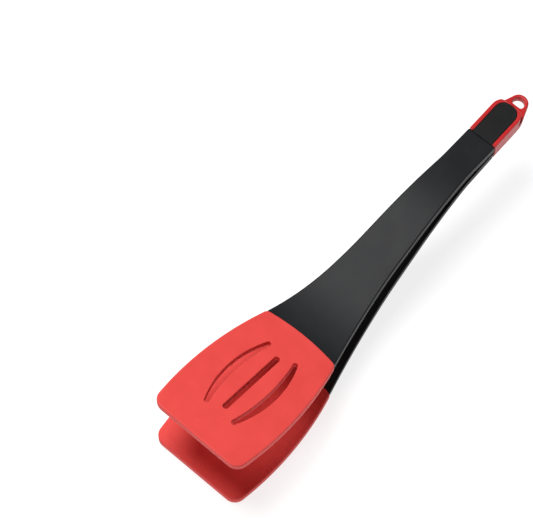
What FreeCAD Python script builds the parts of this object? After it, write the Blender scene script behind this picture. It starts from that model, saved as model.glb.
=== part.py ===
import FreeCAD, Part
import math
import os
import Sketcher

V = FreeCAD.Vector

# Spring loaded turner tongs: two swan-necked nylon arms with silicone covered blades,
# hinged on a steel pin inside a U-shaped end cap and pushed open by a torsion spring.
# Hinge frame: X runs from the pin to the tips, Y across, Z up, the origin on the pin's axis.
# Both arms are drawn at rest, which is fully open.

doc = FreeCAD.newDocument("turner_tongs")

# ---------------------------------------------------------------- driving dimensions
SIZES = [
    ("cap_height", 16.2, "end cap, over both faces"),
    ("cap_width", 22.8, "end cap, over both cheeks"),
    ("cheek_wall", 2.9, "thickness of each cheek"),
    ("mouth_reach", 6.0, "pin axis to the cap's mouth"),
    ("cap_reach", 27.2, "pin axis to the rear of the covers"),
    ("cap_corner", 7.8, "rear corner radius of the cover recess"),
    ("scoop_depth", 1.3, "hollow in the front edge of each cheek"),
    ("rim_wall", 2.8, "frame wall behind the covers"),
    ("slope_lead", 1.5, "the rear slope starts this far ahead of the covers' rear"),
    ("slope_bulge", 0.9, "bulge of the rear slope"),
    ("loop_reach", 42.9, "pin axis to the end of the hanging loop"),
    ("loop_height", 6.4, "thickness of the hanging loop"),
    ("loop_level", 4.0, "middle of the loop's thickness below the pin axis"),
    ("loop_end_radius", 6.8, "outer radius at the loop's end"),
    ("loop_flank", 20.0, "taper of each side of the loop in degrees"),
    ("loop_wall", 3.0, "loop wall at its end"),
    ("hole_radius", 4.4, "radius of the loop's hole"),
    ("hole_flat", 2.2, "middle of the hole to its straight edge beside the cap"),
    ("cover_thickness", 2.3, "plate thickness of both covers"),
    ("cover_sink", 0.25, "covers lie this far below the frame's rim"),
    ("cover_gap", 0.2, "groove between a cover and the frame"),
    ("ledge_width", 1.4, "ledge that a cover seats on"),
    ("ledge_reach", 7.0, "pin axis to the front of the ledges"),
    ("post_radius", 2.9, "screw posts of the covers"),
    ("post_reach", 18.5, "pin axis to the screw posts"),
    ("post_spread", 8.4, "distance between the two posts"),
    ("screw_radius", 1.2, "cover screw shank"),
    ("screw_head_radius", 2.2, "cover screw head"),
    ("screw_head_height", 1.5, "cover screw head"),
    ("screw_length", 11.0, "cover screw shank length"),
    ("drive_radius", 0.72, "recess in the screw heads"),
    ("screw_sink", 0.7, "head below the bottom cover's face"),
    ("pin_radius", 1.5, "hinge pin"),
    ("pin_play", 0.05, "radial play on the pin"),
    ("bush_wall", 1.1, "wall of the cheek bushes"),
    ("bush_depth", 1.5, "depth of the sockets in the cheeks"),
    ("sleeve_wall", 0.9, "wall of the spring sleeve"),
    ("spring_wire", 1.1, "torsion spring wire diameter"),
    ("spring_play", 0.3, "radial play of the coil on its sleeve"),
    ("spring_pitch", 1.19, "rise of the coil per turn"),
    ("spring_turns", 2.5, "turns of the coil"),
    ("spring_leg", 24.0, "pin axis to the end of each spring leg"),
    ("lug_clearance", 0.95, "the round knuckles stay this far inside the covers"),
    ("lug_width", 2.5, "upper arm knuckle width"),
    ("lug_start", 2.5, "inner face of the upper arm's knuckles"),
    ("neck_reach", 4.0, "the necks run this far past the mouth"),
    ("neck_clearance", 0.9, "the necks stay this far inside the covers at the mouth"),
    ("washer_thickness", 0.5, "washers between the knuckles"),
    ("side_play", 0.1, "side play at each knuckle face"),
    ("mouth_gap", 0.35, "arms stop this far from the cap's mouth"),
    ("opening", 5.6, "each arm's travel in degrees"),
    ("closed_gap", 0.6, "gap between the arms when closed"),
    ("arm_thickness", 6.7, "arm beyond the first bend"),
    ("liner_thickness", 2.2, "inner cover of each arm"),
    ("liner_start", 29.0, "pin axis to the rear of the inner covers"),
    ("core_lead", 4.0, "the cores start this far ahead of the inner covers"),
    ("blade_lead", 4.0, "the blades start this far ahead of the heads' rear corners"),
    ("core_thickness", 1.2, "steel core of each arm"),
    ("tang_width", 12.0, "core width inside the arm"),
    ("blade_width", 52.0, "core width inside the head"),
    ("blade_inset", 9.0, "blade stops this far behind the tip"),
    ("straight_run", 38.0, "arm from the mouth to its first bend"),
    ("drop_bend", 50.0, "length of the first bend"),
    ("drop_angle", 18.2, "turn of the first bend in degrees"),
    ("drop_run", 47.5, "straight run after the first bend"),
    ("rise_bend", 67.0, "length of the second bend"),
    ("rise_angle", 29.5, "turn of the second bend in degrees"),
    ("blade_run", 103.7, "straight run of the head"),
    ("flare_start", 36.0, "pin axis to where the arms begin to widen"),
    ("flare_angle", 3.4, "widening of each side at first, in degrees"),
    ("flare_bend", 112.0, "pin axis to where the arms begin to flare"),
    ("flare_round", 150.0, "radius between the straight and the widening part"),
    ("head_start", 196.4, "pin axis to the rear edge of the heads"),
    ("lower_setback", 3.0, "the lower head starts this much further forward"),
    ("head_start_width", 59.2, "width at the rear edge of the heads"),
    ("head_width", 77.6, "greatest width of the heads"),
    ("head_widest", 263.2, "pin axis to the widest place"),
    ("head_bulge", 2.8, "bulge of the heads' rear edge"),
    ("tip_corner", 8.5, "corner radius at the tip"),
    ("head_proud", 0.35, "silicone stands this proud of the arm"),
    ("slot_middle", 246.6, "pin axis to the middle of the slots"),
    ("slot_width", 4.0, "straight slot"),
    ("slot_length", 55.0, "straight slot"),
    ("crescent_length", 65.0, "curved slots, end to end"),
    ("crescent_offset", 16.75, "curved slots, middle line at mid length"),
    ("crescent_bow", 5.0, "bow of a curved slot's middle line"),
    ("crescent_width", 6.1, "curved slots at mid length"),
    ("crescent_end_width", 3.4, "curved slots at their ends"),
    ("head_overhang", 0.6, "the heads' square tips stay this far behind the arms' outer tips"),
    ("head_overlap", 5.0, "extra length of the drawn heads behind their bulging rear edge"),
]

sheet = doc.addObject("Spreadsheet::Sheet", "Sizes")
for row, (alias, value, note) in enumerate(SIZES, start=1):
    sheet.set("A%d" % row, alias)
    sheet.set("B%d" % row, str(value))
    sheet.set("C%d" % row, note)
    sheet.setAlias("B%d" % row, alias)
doc.recompute()


def size(alias):
    """The value of one cell of the sheet."""
    return float(getattr(sheet, alias))


# ---------------------------------------------------------------- derived places
HALF_CAP = size("cap_height") / 2
HALF_WIDTH = size("cap_width") / 2
MOUTH = size("mouth_reach")
INNER_HALF = HALF_WIDTH - size("cheek_wall")
OPENING = math.radians(size("opening"))
HALF_GAP = size("closed_gap") / 2
LOOP_TOP = size("loop_height") / 2 - size("loop_level")
LOOP_LOW = -size("loop_height") / 2 - size("loop_level")
COVER_OUTER = HALF_CAP - size("cover_sink")
COVER_INNER = COVER_OUTER - size("cover_thickness")
LUG_RADIUS = COVER_INNER - size("lug_clearance")
LUG_EXPRESSION = "(Sizes.cap_height / 2 - Sizes.cover_sink - Sizes.cover_thickness - Sizes.lug_clearance)"
LOWER_LUG_START = size("lug_start") + size("lug_width") + 2 * size("side_play") + size("washer_thickness")
COIL_RADIUS = (size("pin_radius") + size("pin_play") + size("sleeve_wall") + size("spring_play")
               + size("spring_wire") / 2)
FAR = 400.0


# ---------------------------------------------------------------- drawing helpers
def new_body(name):
    """An empty body whose label names the sub-part."""
    body = doc.addObject("PartDesign::Body", "Body_" + name)
    body.Label = name
    return body


def plane_of(body, role):
    """The body's own origin plane with this role."""
    return [item for item in body.Origin.OriginFeatures if item.Role == role][0]


def new_sketch(body, role, name, edges, offset=0.0):
    """A closed outline of lines and arcs on one origin plane of the body."""
    sketch = body.newObject("Sketcher::SketchObject", name)
    sketch.AttachmentSupport = [(plane_of(body, role), "")]
    sketch.MapMode = "FlatFace"
    sketch.AttachmentOffset = FreeCAD.Placement(V(0, 0, offset), FreeCAD.Rotation())
    for edge in edges:
        sketch.addGeometry(edge, False)
    return sketch


def circle_sketch(body, role, name, centres, radius_expression, offset=0.0):
    """Circles of one radius, each bound to the sheet."""
    sketch = new_sketch(body, role, name, [], offset)
    for x, y in centres:
        index = sketch.addGeometry(Part.Circle(V(x, y, 0), V(0, 0, 1), 1.0), False)
        constraint = sketch.addConstraint(Sketcher.Constraint("Radius", index, 1.0))
        sketch.setExpression("Constraints[%d]" % constraint, radius_expression)
    return sketch


def pad(body, sketch, name, length_expression, symmetric=False, reversed_=False):
    """A pad whose length comes from the sheet."""
    feature = body.newObject("PartDesign::Pad", name)
    feature.Profile = sketch
    if symmetric:
        feature.SideType = "Symmetric"
    feature.Reversed = reversed_
    feature.setExpression("Length", length_expression)
    return feature


def pocket(body, sketch, name, length_expression, symmetric=False, reversed_=False):
    """A pocket whose length comes from the sheet; it has to remove material."""
    doc.recompute()
    before = body.Shape.Volume
    feature = body.newObject("PartDesign::Pocket", name)
    feature.Profile = sketch
    if symmetric:
        feature.SideType = "Symmetric"
    feature.Reversed = reversed_
    feature.setExpression("Length", length_expression)
    doc.recompute()
    if feature.Shape.isNull() or feature.Shape.Volume >= before - 1e-3:
        raise ValueError("pocket %s removes nothing" % name)
    return feature


def line(p, q):
    return Part.LineSegment(V(p[0], p[1], 0), V(q[0], q[1], 0))


def arc(p, middle, q):
    return Part.Arc(V(p[0], p[1], 0), V(middle[0], middle[1], 0), V(q[0], q[1], 0))


def polygon(points):
    """Lines through the points, closed."""
    return [line(points[i], points[(i + 1) % len(points)]) for i in range(len(points))]


def box_outline(x0, x1, half):
    """A rectangle between two stations, symmetric about the X axis."""
    return polygon([(x0, -half), (x1, -half), (x1, half), (x0, half)])


# ---------------------------------------------------------------- side profile of the arms
def turned(point, angle):
    """The point turned about the pin's axis."""
    c, s = math.cos(angle), math.sin(angle)
    return (point[0] * c - point[1] * s, point[0] * s + point[1] * c)


class Chain:
    """A tangent chain of straight runs and arcs, from a start point and direction."""

    def __init__(self, start, heading):
        self.point = start
        self.heading = heading
        self.parts = []

    def run(self, length):
        c, s = math.cos(self.heading), math.sin(self.heading)
        end = (self.point[0] + length * c, self.point[1] + length * s)
        self.parts.append(("run", self.point, None, end))
        self.point = end

    def bend(self, length, turn):
        radius = length / turn

        def at(part_turn):
            a = self.heading + part_turn
            return (self.point[0] + radius * (math.sin(a) - math.sin(self.heading)),
                    self.point[1] - radius * (math.cos(a) - math.cos(self.heading)))
        middle, end = at(turn / 2), at(turn)
        self.parts.append(("bend", self.point, middle, end))
        self.point = end
        self.heading += turn


def surface_chain(side, level, extra_root=0.0, tip_trim=0.0):
    """A surface of one arm, parallel to the closed middle line at `level` above or below it.

    side is +1 for the upper arm and -1 for the lower; extra_root is how much further out the
    surface starts at the mouth than beyond the first bend, where the arm has thinned down.
    """
    taper = extra_root / (size("straight_run") + size("drop_bend") / 2)
    drop = math.radians(size("drop_angle"))
    rise = math.radians(size("rise_angle"))
    offset = side * level
    chain = Chain(turned((0.0, side * (level + extra_root)), side * OPENING), side * OPENING - side * taper)
    chain.run(MOUTH + size("straight_run"))
    # the first bend turns down: a surface above the middle line lies outside it
    chain.bend(size("drop_bend") + offset * drop, -drop + side * taper)
    chain.run(size("drop_run"))
    chain.bend(size("rise_bend") - offset * rise, rise)
    chain.run(size("blade_run") - tip_trim)
    return chain


def chain_edges(parts):
    """Sketch geometry of a chain."""
    return [line(p, q) if kind == "run" else arc(p, m, q) for kind, p, m, q in parts]


def band(lower, upper):
    """A closed outline between two surface chains."""
    return (chain_edges(lower.parts) + [line(lower.point, upper.point)] + chain_edges(upper.parts)
            + [line(upper.parts[0][1], lower.parts[0][1])])


def band_between(side, inner_level, outer_level, extra_root=0.0, tip_trim=0.0):
    """The outline between two levels of one arm, as (x, z)."""
    inner = surface_chain(side, inner_level, 0.0, tip_trim)
    outer = surface_chain(side, outer_level, extra_root, tip_trim)
    return band(inner, outer)


# ---------------------------------------------------------------- plan of the arms and heads
def flare_points(start):
    """Corners of one arm side: where it widens and where it flares, with slope and end point."""
    angle = math.radians(size("flare_angle"))
    x0, x1 = size("flare_start"), size("flare_bend")
    y1 = HALF_WIDTH + (x1 - x0) * math.tan(angle)
    return (x0, HALF_WIDTH), (x1, y1), angle, (start, side_start_half(start))


def flare_edges(sign, start):
    """One side of an arm: straight, a gentle widening, then a flare to the head's rear corner."""
    (x0, y0), (x1, y1), angle, (x2, y2) = flare_points(start)
    reach = size("flare_round") * math.tan(angle / 2)
    first = (x0 - reach, y0)
    second = (x0 + reach * math.cos(angle), y0 + reach * math.sin(angle))
    sink = size("flare_round") * (1 - math.cos(angle / 2))
    between = (x0 - reach + size("flare_round") * math.sin(angle / 2), y0 + sink)
    # the flare is the arc that leaves the widening line tangentially and meets the corner
    chord = math.atan2(y2 - y1, x2 - x1)
    turn = 2 * (chord - angle)
    radius = math.hypot(x2 - x1, y2 - y1) / (2 * math.sin(turn / 2))
    half = angle + turn / 2
    middle = (x1 + radius * (math.sin(half) - math.sin(angle)),
              y1 + radius * (math.cos(angle) - math.cos(half)))
    corners = [(-MOUTH, HALF_WIDTH), first, between, second, (x1, y1), middle, (x2, y2)]
    points = [(x, sign * y) for x, y in corners]
    return [line(points[0], points[1]), arc(points[1], points[2], points[3]), line(points[3], points[4]),
            arc(points[4], points[5], points[6])]


def side_radius():
    """Radius of the heads' bulging sides."""
    run = size("head_widest") - size("head_start")
    gain = (size("head_width") - size("head_start_width")) / 2
    return (run * run + gain * gain) / (2 * gain)


def side_half(x, grow=0.0):
    """Half the width of a head at this place."""
    radius = side_radius()
    run = x - size("head_widest")
    return size("head_width") / 2 + grow - (radius - math.sqrt(radius * radius - run * run))


def side_start_half(start):
    """Half the width of the arm at the head's rear corner."""
    return side_half(start) if start > size("head_start") else size("head_start_width") / 2


def rear_edge(start, y):
    """Place of a head's bulging rear edge, this far from the middle; start is its rear corner."""
    half = side_start_half(start)
    bulge = size("head_bulge")
    radius = (bulge * bulge + half * half) / (2 * bulge)
    return start - bulge + radius - math.sqrt(radius * radius - y * y)


def arm_plan(start):
    """The arm seen from above, up to the bulging rear edge of the head."""
    half = side_start_half(start)
    edges = flare_edges(1, start) + flare_edges(-1, start)
    edges.append(line((-MOUTH, -HALF_WIDTH), (-MOUTH, HALF_WIDTH)))
    edges.append(arc((start, -half), (rear_edge(start, 0), 0), (start, half)))
    return edges


def head_plan(start, tip_x):
    """The head seen from above, from its bulging rear edge to the rounded tip corners."""
    proud = size("head_proud")
    corner = size("tip_corner")
    rear_half = side_start_half(start) + proud
    rear = rear_edge(start, rear_half)
    radius = side_radius()
    centre_y = size("head_width") / 2 + proud - radius
    # each corner's centre lies inside the side arc and one corner radius behind the tip
    run = tip_x - corner - size("head_widest")
    rise = math.sqrt((radius - corner) ** 2 - run * run)
    corner_y = centre_y + rise
    touch = (size("head_widest") + run * radius / (radius - corner), centre_y + rise * radius / (radius - corner))
    turn = math.atan2(rise, run) / 2
    edges = [arc((rear, -rear_half), (rear_edge(start, 0), 0), (rear, rear_half)),
             line((tip_x, -corner_y), (tip_x, corner_y))]
    for sign in (-1, 1):
        middle = (rear + touch[0]) / 2
        edges.append(arc((rear, sign * rear_half), (middle, sign * side_half(middle, proud)),
                         (touch[0], sign * touch[1])))
        edges.append(arc((touch[0], sign * touch[1]),
                         (tip_x - corner + corner * math.cos(turn), sign * (corner_y + corner * math.sin(turn))),
                         (tip_x, sign * corner_y)))
    return edges


def outside(plan):
    """A frame-shaped outline: everything within reach that lies outside the plan."""
    return polygon([(-FAR, -FAR), (FAR, -FAR), (FAR, FAR), (-FAR, FAR)]) + plan


def slot_outline():
    """The straight slot, with rounded ends."""
    middle = size("slot_middle")
    half = size("slot_width") / 2
    reach = size("slot_length") / 2 - half
    return [line((middle - reach, -half), (middle + reach, -half)),
            arc((middle + reach, -half), (middle + reach + half, 0), (middle + reach, half)),
            line((middle + reach, half), (middle - reach, half)),
            arc((middle - reach, half), (middle - reach - half, 0), (middle - reach, -half))]


def crescent_outline(sign):
    """A curved slot on one side, widest at its middle, with rounded ends."""
    middle = size("slot_middle")
    end_half = size("crescent_end_width") / 2
    mid_half = size("crescent_width") / 2
    reach = size("crescent_length") / 2 - end_half
    line_y = size("crescent_offset")
    end_y = line_y - size("crescent_bow")
    corner = [(middle - reach, sign * (end_y - end_half)), (middle + reach, sign * (end_y - end_half)),
              (middle + reach, sign * (end_y + end_half)), (middle - reach, sign * (end_y + end_half))]
    return [arc(corner[0], (middle, sign * (line_y - mid_half)), corner[1]),
            arc(corner[1], (middle + reach + end_half, sign * end_y), corner[2]),
            arc(corner[2], (middle, sign * (line_y + mid_half)), corner[3]),
            arc(corner[3], (middle - reach - end_half, sign * end_y), corner[0])]


# ---------------------------------------------------------------- end cap frame
def cover_recess(half, rear, front, corner):
    """A U-shaped plan with rounded rear corners, open ended at the front."""
    diagonal = corner * (1 - math.sqrt(0.5))
    return [line((front, -half), (rear + corner, -half)),
            arc((rear + corner, -half), (rear + diagonal, -half + diagonal), (rear, -half + corner)),
            line((rear, -half + corner), (rear, half - corner)),
            arc((rear, half - corner), (rear + diagonal, half - diagonal), (rear + corner, half)),
            line((rear + corner, half), (front, half)),
            line((front, half), (front, -half))]


def frame_plan():
    """Outer plan of the cap: cheeks and rounded rear corners."""
    rear = -(size("cap_reach") + size("rim_wall"))
    return cover_recess(HALF_WIDTH, rear, MOUTH, size("cap_corner") + size("rim_wall"))


def loop_plan():
    """Plan of the hanging loop: sides that taper from the cheeks to a round end."""
    flank = math.radians(size("loop_flank"))
    radius = size("loop_end_radius")
    centre = radius - size("loop_reach")
    touch = (centre - radius * math.sin(flank), radius * math.cos(flank))
    root = (touch[0] + (HALF_WIDTH - touch[1]) / math.tan(flank), HALF_WIDTH)
    # ahead of the taper the plate fills out the cap's rounded rear corners below the slope
    front = size("cap_corner") - size("cap_reach")
    return [line((front, -HALF_WIDTH), (front, HALF_WIDTH)), line((front, HALF_WIDTH), root), line(root, touch),
            arc(touch, (centre - radius, 0), (touch[0], -touch[1])),
            line((touch[0], -touch[1]), (root[0], -root[1])), line((root[0], -root[1]), (front, -HALF_WIDTH))]


def scoop(reach):
    """The hollow front edge of the cheeks, this far from the pin, as one arc in (x, z)."""
    return arc((reach, -HALF_CAP), (reach - size("scoop_depth"), 0), (reach, HALF_CAP))


def before_scoop(reach):
    """Everything in front of the hollow edge."""
    return [scoop(reach), line((reach, HALF_CAP), (reach, FAR)), line((reach, FAR), (FAR, FAR)),
            line((FAR, FAR), (FAR, -FAR)), line((FAR, -FAR), (reach, -FAR)),
            line((reach, -FAR), (reach, -HALF_CAP))]


def behind_scoop(reach):
    """Everything behind the hollow edge."""
    return [scoop(reach), line((reach, HALF_CAP), (reach, FAR)), line((reach, FAR), (-FAR, FAR)),
            line((-FAR, FAR), (-FAR, -FAR)), line((-FAR, -FAR), (reach, -FAR)),
            line((reach, -FAR), (reach, -HALF_CAP))]


def frame_side():
    """Side profile of the cap: flat faces, scooped front edge, a rear that falls to the loop."""
    rear = -(size("cap_reach") + size("rim_wall"))
    slope_start = -size("cap_reach") + size("slope_lead")
    fall = V(rear - slope_start, LOOP_TOP - HALF_CAP, 0)
    outward = V(fall.y, -fall.x, 0).normalize() * size("slope_bulge")
    middle = ((rear + slope_start) / 2 + outward.x, (LOOP_TOP + HALF_CAP) / 2 + outward.y)
    return [scoop(MOUTH), line((MOUTH, HALF_CAP), (slope_start, HALF_CAP)),
            arc((slope_start, HALF_CAP), middle, (rear, LOOP_TOP)), line((rear, LOOP_TOP), (rear, LOOP_LOW)),
            line((rear, LOOP_LOW), (slope_start, -HALF_CAP)), line((slope_start, -HALF_CAP), (MOUTH, -HALF_CAP))]


def loop_hole():
    """The hanging hole: round, with a straight edge beside the cap."""
    radius = size("hole_radius")
    far = size("loop_wall") - size("loop_reach")
    near = far + radius + size("hole_flat")
    half = math.sqrt(radius ** 2 - size("hole_flat") ** 2)
    return [line((near, -half), (near, half)), arc((near, half), (far, 0), (near, -half))]


def make_end_frame():
    """The coloured U-shaped frame with its hanging loop."""
    body = new_body("end_frame")
    pad(body, new_sketch(body, "XZ_Plane", "frame_side", frame_side()), "frame_block",
        "Sizes.cap_width + 2", symmetric=True)
    pocket(body, new_sketch(body, "XY_Plane", "frame_outside", outside(frame_plan())), "frame_trim",
           "Sizes.cap_height * 2", symmetric=True)
    pad(body, new_sketch(body, "XY_Plane", "loop_plan", loop_plan(), LOOP_LOW), "loop_plate",
        "Sizes.loop_height")
    # the covers' recesses, top and bottom, down to their ledges
    for sign, word in ((1, "top"), (-1, "bottom")):
        sketch = new_sketch(body, "XY_Plane", word + "_recess",
                            cover_recess(INNER_HALF, -size("cap_reach"), FAR, size("cap_corner")),
                            sign * COVER_INNER)
        pocket(body, sketch, word + "_recess_cut", "Sizes.cap_height", reversed_=sign > 0)
    # the works' space between the ledges, full width around the knuckles
    ledge = size("ledge_width")
    sketch = new_sketch(body, "XY_Plane", "works_rear",
                        cover_recess(INNER_HALF - ledge, -size("cap_reach") + ledge, 0.0,
                                     size("cap_corner") - ledge))
    pocket(body, sketch, "works_rear_cut", "Sizes.cap_height * 2", symmetric=True)
    sketch = new_sketch(body, "XY_Plane", "works_front",
                        box_outline(-size("ledge_reach"), FAR, INNER_HALF))
    pocket(body, sketch, "works_front_cut", "Sizes.cap_height * 2", symmetric=True)
    pocket(body, new_sketch(body, "XY_Plane", "loop_hole", loop_hole()), "loop_hole_cut",
           "Sizes.cap_height * 2", symmetric=True)
    # blind sockets for the bushes
    sockets = circle_sketch(body, "XZ_Plane", "bush_sockets", [(0, 0)],
                            "Sizes.pin_radius + Sizes.bush_wall")
    pocket(body, sockets, "bush_sockets_cut", "Sizes.cap_width - 2 * Sizes.cheek_wall + 2 * Sizes.bush_depth",
           symmetric=True)
    return body


# ---------------------------------------------------------------- covers and screws
def post_places():
    return [(-size("post_reach"), -size("post_spread") / 2), (-size("post_reach"), size("post_spread") / 2)]


def make_cover(name, sign):
    """One black cover with its two screw posts; sign is +1 on top and -1 below."""
    body = new_body(name)
    gap = size("cover_gap")
    plan = cover_recess(INNER_HALF - gap, -size("cap_reach") + gap, MOUTH, size("cap_corner") - gap)
    pad(body, new_sketch(body, "XY_Plane", name + "_plan", plan, sign * COVER_INNER), name + "_plate",
        "Sizes.cover_thickness", reversed_=sign < 0)
    posts = circle_sketch(body, "XY_Plane", name + "_posts", post_places(), "Sizes.post_radius",
                          sign * size("side_play"))
    pad(body, posts, name + "_post_pads",
        "Sizes.cap_height / 2 - Sizes.cover_sink - Sizes.cover_thickness / 2", reversed_=sign < 0)
    if sign < 0:
        holes = circle_sketch(body, "XY_Plane", name + "_holes", post_places(),
                              "Sizes.screw_radius + Sizes.pin_play", -COVER_OUTER - 1)
        pocket(body, holes, name + "_hole_cut", "Sizes.cap_height", reversed_=True)
        heads = circle_sketch(body, "XY_Plane", name + "_heads", post_places(),
                              "Sizes.screw_head_radius + Sizes.cover_gap",
                              -COVER_OUTER + size("screw_sink") + size("screw_head_height"))
        pocket(body, heads, name + "_head_cut", "Sizes.cap_height / 2")
    else:
        holes = circle_sketch(body, "XY_Plane", name + "_pilots", post_places(), "Sizes.screw_radius",
                              screw_tip())
        pocket(body, holes, name + "_pilot_cut", "Sizes.cap_height")
    pocket(body, new_sketch(body, "XZ_Plane", name + "_front", before_scoop(MOUTH)), name + "_front_cut",
           "Sizes.cap_width * 2", symmetric=True)
    return body


def screw_tip():
    """Height of the cover screws' tips."""
    return -COVER_OUTER + size("screw_sink") + size("screw_head_height") + size("screw_length")


def make_cover_screws():
    """The two screws that clamp the covers together through the frame."""
    compounds = []
    head_low = -COVER_OUTER + size("screw_sink")
    head_top = head_low + size("screw_head_height")
    for x, y in post_places():
        head = Part.makeCylinder(size("screw_head_radius"), size("screw_head_height"), V(x, y, head_low))
        shank = Part.makeCylinder(size("screw_radius"), size("screw_length"), V(x, y, head_top))
        drive = Part.makeCylinder(size("drive_radius"), size("screw_head_height") / 2, V(x, y, head_low))
        compounds.append(head.fuse(shank).removeSplitter().cut(drive))
    screws = doc.addObject("Part::Feature", "Part_cover_screws")
    screws.Label = "cover_screws"
    screws.Shape = Part.makeCompound(compounds)
    return screws


# ---------------------------------------------------------------- hinge pin, sleeve, bushes, washers
def ring_body(name, outer_expression, inner_expression, width_expression, offset=0.0, symmetric=True,
              reversed_=False):
    """A ring about the pin's axis."""
    body = new_body(name)
    sketch = circle_sketch(body, "XZ_Plane", name + "_outer", [(0, 0)], outer_expression, offset)
    index = sketch.addGeometry(Part.Circle(V(0, 0, 0), V(0, 0, 1), 0.5), False)
    constraint = sketch.addConstraint(Sketcher.Constraint("Radius", index, 0.5))
    sketch.setExpression("Constraints[%d]" % constraint, inner_expression)
    pad(body, sketch, name + "_ring", width_expression, symmetric=symmetric, reversed_=reversed_)
    return body


def make_hinge_pin():
    body = new_body("hinge_pin")
    sketch = circle_sketch(body, "XZ_Plane", "pin_circle", [(0, 0)], "Sizes.pin_radius")
    pad(body, sketch, "pin_shaft",
        "Sizes.cap_width - 2 * Sizes.cheek_wall + 2 * Sizes.bush_depth - 2 * Sizes.side_play", symmetric=True)
    return body


def make_bush(name, sign):
    """A plain bush in the blind socket of one cheek."""
    return ring_body(name, "Sizes.pin_radius + Sizes.bush_wall", "Sizes.pin_radius", "Sizes.bush_depth",
                     offset=-sign * INNER_HALF, symmetric=False, reversed_=sign > 0)


def make_washer(name, sign):
    """A washer between an upper and a lower knuckle."""
    inner_face = size("lug_start") + size("lug_width") + size("side_play")
    return ring_body(name, LUG_EXPRESSION + " - Sizes.cover_gap", "Sizes.pin_radius + Sizes.pin_play",
                     "Sizes.washer_thickness", offset=-sign * inner_face, symmetric=False,
                     reversed_=sign > 0)


def make_spring():
    """The torsion spring: a close coil round the sleeve and a leg into each arm."""
    wire = size("spring_wire")
    radius = COIL_RADIUS
    pitch, turns = size("spring_pitch"), size("spring_turns")
    half_length = pitch * turns / 2
    helix = Part.makeHelix(pitch, pitch * turns, radius)
    section = Part.Wire([Part.makeCircle(wire / 2, V(radius, 0, 0), V(0, 1, 0))])
    coil = Part.Wire(helix.Edges).makePipeShell([section], True, True)
    # the coil is made about +Z from (radius, 0): lay its axis along Y and start it on top
    coil.translate(V(0, 0, -half_length))
    coil.rotate(V(0, 0, 0), V(0, 0, 1), 90)
    coil.rotate(V(0, 0, 0), V(1, 0, 0), 90)
    solids = [coil]
    reach = size("spring_leg")
    for side, y in ((1, half_length), (-1, -half_length)):
        start = turned((0.0, side * radius), side * OPENING)
        end = turned((reach, side * radius), side * OPENING)
        direction = V(end[0] - start[0], 0, end[1] - start[1])
        solids.append(Part.makeCylinder(wire / 2, direction.Length, V(start[0], y, start[1]), direction))
        solids.append(Part.makeSphere(wire / 2, V(start[0], y, start[1])))
    shape = solids[0]
    for extra in solids[1:]:
        shape = shape.fuse(extra)
    spring = doc.addObject("Part::Feature", "Part_torsion_spring")
    spring.Label = "torsion_spring"
    spring.Shape = shape.Solids[0] if len(shape.Solids) == 1 else shape
    return spring


# ---------------------------------------------------------------- arms
def head_rear(side):
    """Pin axis to the rear corners of the upper (+1) or lower (-1) head."""
    return size("head_start") + (size("lower_setback") if side < 0 else 0.0)


OUTER_LEVEL = HALF_GAP + size("arm_thickness")
ROOT_EXTRA = HALF_CAP - OUTER_LEVEL
LINER_LEVEL = HALF_GAP + size("liner_thickness")
CORE_LEVEL = LINER_LEVEL + size("core_thickness")


def neck_outline(side):
    """The neck from the knuckle to the arm, inside the cap, as (x, z)."""
    reach = MOUTH + size("neck_reach")
    bore = size("pin_radius") + size("pin_play")
    level = COVER_INNER - size("neck_clearance")
    # behind the pin the neck ends on the knuckle's rim
    back = math.sqrt(LUG_RADIUS ** 2 - (level - size("neck_clearance") / 2) ** 2)
    corners = [(reach, HALF_GAP), (reach, level), (-back, level - size("neck_clearance") / 2),
               (bore / 2, HALF_GAP)]
    return polygon([turned((x, side * z), side * OPENING) for x, z in corners])


def make_arm(name, side):
    """The outer shell of one arm with its two knuckles."""
    body = new_body(name)
    shell = band_between(side, HALF_GAP, OUTER_LEVEL, ROOT_EXTRA)
    pad(body, new_sketch(body, "XZ_Plane", name + "_side", shell), name + "_block",
        "Sizes.head_width * 1.5", symmetric=True)
    around = new_sketch(body, "XY_Plane", name + "_outside", outside(arm_plan(head_rear(side))))
    pocket(body, around, name + "_trim", "Sizes.head_width * 6", symmetric=True)
    # the part of the band behind the mouth is cut away, leaving a face that follows the cheeks
    behind = behind_scoop(MOUTH + size("mouth_gap"))
    pocket(body, new_sketch(body, "XZ_Plane", name + "_behind", behind), name + "_mouth_cut",
           "Sizes.head_width * 2", symmetric=True)
    # the seat of the inner cover, and the groove of the core above it
    seat_start = size("liner_start")
    seat = band_between(side, -HALF_GAP, LINER_LEVEL)
    cut_band(body, name + "_seat", seat, seat_start, "Sizes.head_width * 2")
    groove = band_between(side, HALF_GAP, CORE_LEVEL)
    cut_band(body, name + "_groove", groove, seat_start + size("core_lead"), "Sizes.tang_width")
    # the pocket for the spring's leg
    leg_level = COIL_RADIUS + size("spring_wire") / 2
    corners = [(0, -leg_level), (seat_start, -leg_level), (seat_start, leg_level), (0, leg_level)]
    leg = polygon([turned(p, side * OPENING) for p in corners])
    pocket(body, new_sketch(body, "XZ_Plane", name + "_leg", leg), name + "_leg_cut",
           "Sizes.lug_start * 2 + Sizes.side_play", symmetric=True)
    add_knuckles(body, name, side)
    return body


def cut_band(body, name, outline, start, width_expression):
    """Cut a band of the arm forward of a station, by its full width or a stated width."""
    sketch = new_sketch(body, "XZ_Plane", name, trimmed_band(outline, start))
    pocket(body, sketch, name + "_cut", width_expression, symmetric=True)


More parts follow.
